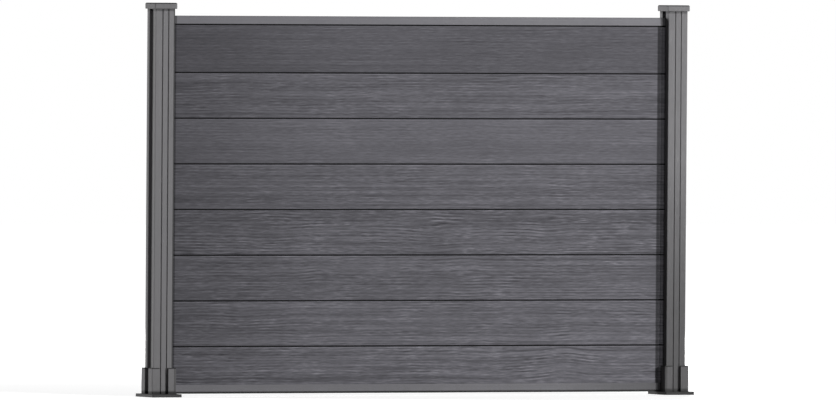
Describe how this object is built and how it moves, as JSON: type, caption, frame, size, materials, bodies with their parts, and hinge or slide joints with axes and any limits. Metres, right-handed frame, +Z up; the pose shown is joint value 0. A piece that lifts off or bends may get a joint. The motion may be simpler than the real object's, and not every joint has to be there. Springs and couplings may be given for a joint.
{
  "type": "composite fence panel",
  "caption": "Fence panel of grey wood-grained composite boards stacked between slotted aluminium posts, with rails, post caps and bolt-down bases.",
  "frame": {"origin": "on the floor, midway between the two posts and midway through the panel", "axes": "+X along the fence from the left post to the right post, +Y from the front to the back, +Z up"},
  "size_m": [1.966, 0.14, 1.293],
  "materials": {
    "board": "matte",
    "rail": "satin",
    "post": "satin",
    "cap": "satin",
    "angle": "satin",
    "base_plate": "satin"
  },
  "bodies": {
    "root": {"board_1": "board", "board_2": "board", "board_3": "board", "board_4": "board", "board_5": "board", "board_6": "board", "board_7": "board", "board_8": "board", "bottom_rail": "rail", "top_rail": "rail", "left_post": "post", "left_cap": "cap", "left_base_plate": "base_plate", "left_front_outer_angle": "angle", "left_front_inner_angle": "angle", "left_back_outer_angle": "angle", "left_back_inner_angle": "angle", "right_post": "post", "right_cap": "cap", "right_base_plate": "base_plate", "right_front_outer_angle": "angle", "right_front_inner_angle": "angle", "right_back_outer_angle": "angle", "right_back_inner_angle": "angle"}
  },
  "joints": []
}
